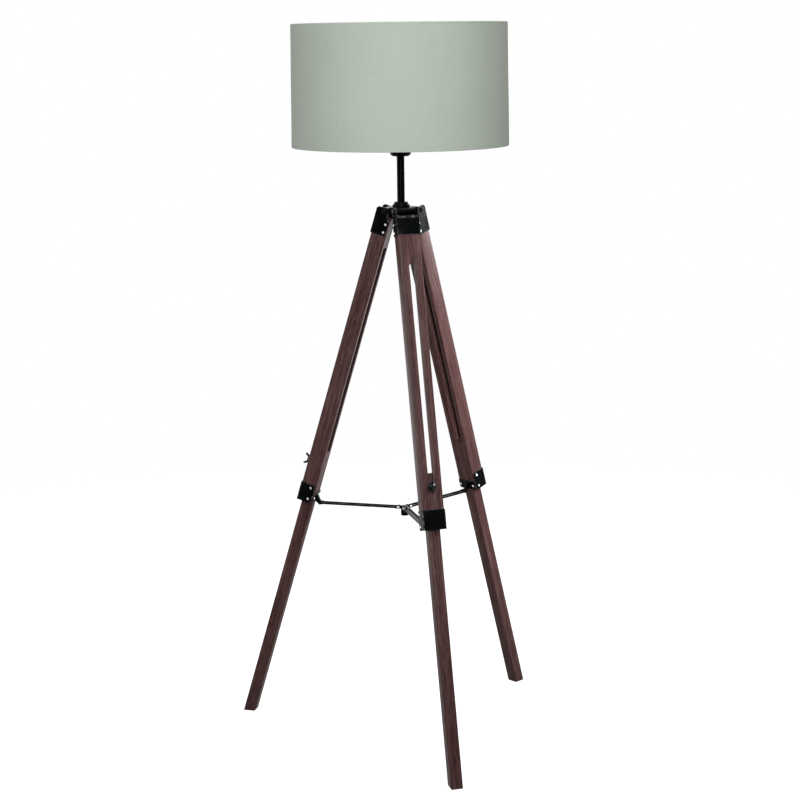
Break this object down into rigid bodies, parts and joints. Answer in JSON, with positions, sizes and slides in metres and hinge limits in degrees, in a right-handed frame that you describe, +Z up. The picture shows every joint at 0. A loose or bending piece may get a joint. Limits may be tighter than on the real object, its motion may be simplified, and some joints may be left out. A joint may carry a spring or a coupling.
{
  "type": "tripod floor lamp",
  "caption": "Tripod floor lamp: fabric drum shade on a short stem over telescopic wooden channel legs with wing-nut clamps and a folding metal spreader.",
  "frame": {"origin": "on the floor, on the axis of the stem and the shade", "axes": "+Z up along the stem; leg 1 points to -Y, legs 2 and 3 stand at 120 degrees on each side of it"},
  "size_m": [0.6676, 0.6032, 1.5134],
  "materials": {
    "dark_wood": "open-grained wood, dark stain, satin varnish",
    "black_metal": "black powder coat, fine texture, satin",
    "black_fastener": "blackened steel, semi-gloss",
    "zinc_steel": "bright zinc-plated steel",
    "shade_fabric": "plain woven linen-look fabric, sage grey",
    "shade_liner": "matte white laminate",
    "white_wire": "white painted wire",
    "black_plastic": "moulded black thermoset",
    "ceramic": "glazed ceramic",
    "brass": "plated metal"
  },
  "bodies": {
    "root": {"hub_plate": "black_metal", "pivot_bolts": "black_fastener", "pivot_nuts": "black_fastener", "stem_nipple": "zinc_steel", "stem_lock_nut": "zinc_steel", "cable_gland": "black_plastic", "stem_collar": "black_metal", "stem_tube": "black_metal", "holder_plate": "black_metal", "holder_shell": "black_plastic", "holder_insert": "ceramic", "holder_contact": "brass", "holder_sleeve": "brass", "shade_ring": "black_plastic", "shade_fitter": "white_wire", "shade_top_wire": "white_wire", "shade_bottom_wire": "white_wire", "shade_liner": "shade_liner", "shade_fabric": "shade_fabric"},
    "leg_1": {"leg_1_rail_left": "dark_wood", "leg_1_rail_right": "dark_wood", "leg_1_top_block": "dark_wood", "leg_1_web": "dark_wood", "leg_1_top_bracket": "black_metal", "leg_1_lower_bracket": "black_metal", "leg_1_spreader_bracket": "black_metal", "leg_1_lug_pin": "zinc_steel", "leg_1_screws": "zinc_steel"},
    "lower_leg_1": {"leg_1_stick": "dark_wood", "leg_1_clamp_stud": "black_fastener"},
    "wing_nut_1": {"leg_1_wing_nut": "black_fastener"},
    "leg_2": {"leg_2_rail_left": "dark_wood", "leg_2_rail_right": "dark_wood", "leg_2_top_block": "dark_wood", "leg_2_web": "dark_wood", "leg_2_top_bracket": "black_metal", "leg_2_lower_bracket": "black_metal", "leg_2_spreader_bracket": "black_metal", "leg_2_lug_pin": "zinc_steel", "leg_2_screws": "zinc_steel"},
    "lower_leg_2": {"leg_2_stick": "dark_wood", "leg_2_clamp_stud": "black_fastener"},
    "wing_nut_2": {"leg_2_wing_nut": "black_fastener"},
    "leg_3": {"leg_3_rail_left": "dark_wood", "leg_3_rail_right": "dark_wood", "leg_3_top_block": "dark_wood", "leg_3_web": "dark_wood", "leg_3_top_bracket": "black_metal", "leg_3_lower_bracket": "black_metal", "leg_3_spreader_bracket": "black_metal", "leg_3_lug_pin": "zinc_steel", "leg_3_screws": "zinc_steel"},
    "lower_leg_3": {"leg_3_stick": "dark_wood", "leg_3_clamp_stud": "black_fastener"},
    "wing_nut_3": {"leg_3_wing_nut": "black_fastener"},
    "spreader": {"spreader_hub": "black_metal", "spreader_pins": "zinc_steel"},
    "arm_1": {"spreader_arm_1": "black_metal"},
    "arm_2": {"spreader_arm_2": "black_metal"},
    "arm_3": {"spreader_arm_3": "black_metal"}
  },
  "joints": [
    {"name": "leg_1_fold", "type": "hinge", "parent": "root", "child": "leg_1", "pos_m": [0, -0.029, 1.13], "axis": [1, 0, 0], "range_deg": [0, 11]},
    {"name": "leg_1_length", "type": "slide", "parent": "leg_1", "child": "lower_leg_1", "axis": [0, 0.2882, 0.9576], "range_m": [0, 0.455]},
    {"name": "wing_nut_1_turn", "type": "hinge", "parent": "lower_leg_1", "child": "wing_nut_1", "pos_m": [0, -0.20994, 0.58607], "axis": [0, -0.9576, 0.2882], "continuous": true},
    {"name": "leg_2_fold", "type": "hinge", "parent": "root", "child": "leg_2", "pos_m": [0.02511, 0.0145, 1.13], "axis": [-0.5, 0.866, 0], "range_deg": [0, 11]},
    {"name": "leg_2_length", "type": "slide", "parent": "leg_2", "child": "lower_leg_2", "axis": [-0.2496, -0.1441, 0.9576], "range_m": [0, 0.455]},
    {"name": "wing_nut_2_turn", "type": "hinge", "parent": "lower_leg_2", "child": "wing_nut_2", "pos_m": [0.18181, 0.10497, 0.58607], "axis": [0.8293, 0.4788, 0.2882], "continuous": true},
    {"name": "leg_3_fold", "type": "hinge", "parent": "root", "child": "leg_3", "pos_m": [-0.02511, 0.0145, 1.13], "axis": [-0.5, -0.866, 0], "range_deg": [0, 11]},
    {"name": "leg_3_length", "type": "slide", "parent": "leg_3", "child": "lower_leg_3", "axis": [0.2496, -0.1441, 0.9576], "range_m": [0, 0.455]},
    {"name": "wing_nut_3_turn", "type": "hinge", "parent": "lower_leg_3", "child": "wing_nut_3", "pos_m": [-0.18181, 0.10497, 0.58607], "axis": [-0.8293, 0.4788, 0.2882], "continuous": true},
    {"name": "spreader_slide", "type": "slide", "parent": "root", "child": "spreader", "axis": [0, 0, 1], "range_m": [0, 0.1]},
    {"name": "arm_1_swing", "type": "hinge", "parent": "spreader", "child": "arm_1", "pos_m": [0, -0.013, 0.491], "axis": [1, 0, 0], "range_deg": [0, 90]},
    {"name": "arm_2_swing", "type": "hinge", "parent": "spreader", "child": "arm_2", "pos_m": [0.01126, 0.0065, 0.491], "axis": [-0.5, 0.866, 0], "range_deg": [0, 90]},
    {"name": "arm_3_swing", "type": "hinge", "parent": "spreader", "child": "arm_3", "pos_m": [-0.01126, 0.0065, 0.491], "axis": [-0.5, -0.866, 0], "range_deg": [0, 90]}
  ],
  "couplings": [
    {"joint": "leg_2_fold", "follows": "leg_1_fold", "ratio": 1},
    {"joint": "leg_3_fold", "follows": "leg_1_fold", "ratio": 1},
    {"joint": "spreader_slide", "follows": "leg_1_fold", "m_per_rad": 0.5208},
    {"joint": "arm_1_swing", "follows": "leg_1_fold", "ratio": 8.1818},
    {"joint": "arm_2_swing", "follows": "leg_1_fold", "ratio": 8.1818},
    {"joint": "arm_3_swing", "follows": "leg_1_fold", "ratio": 8.1818}
  ]
}
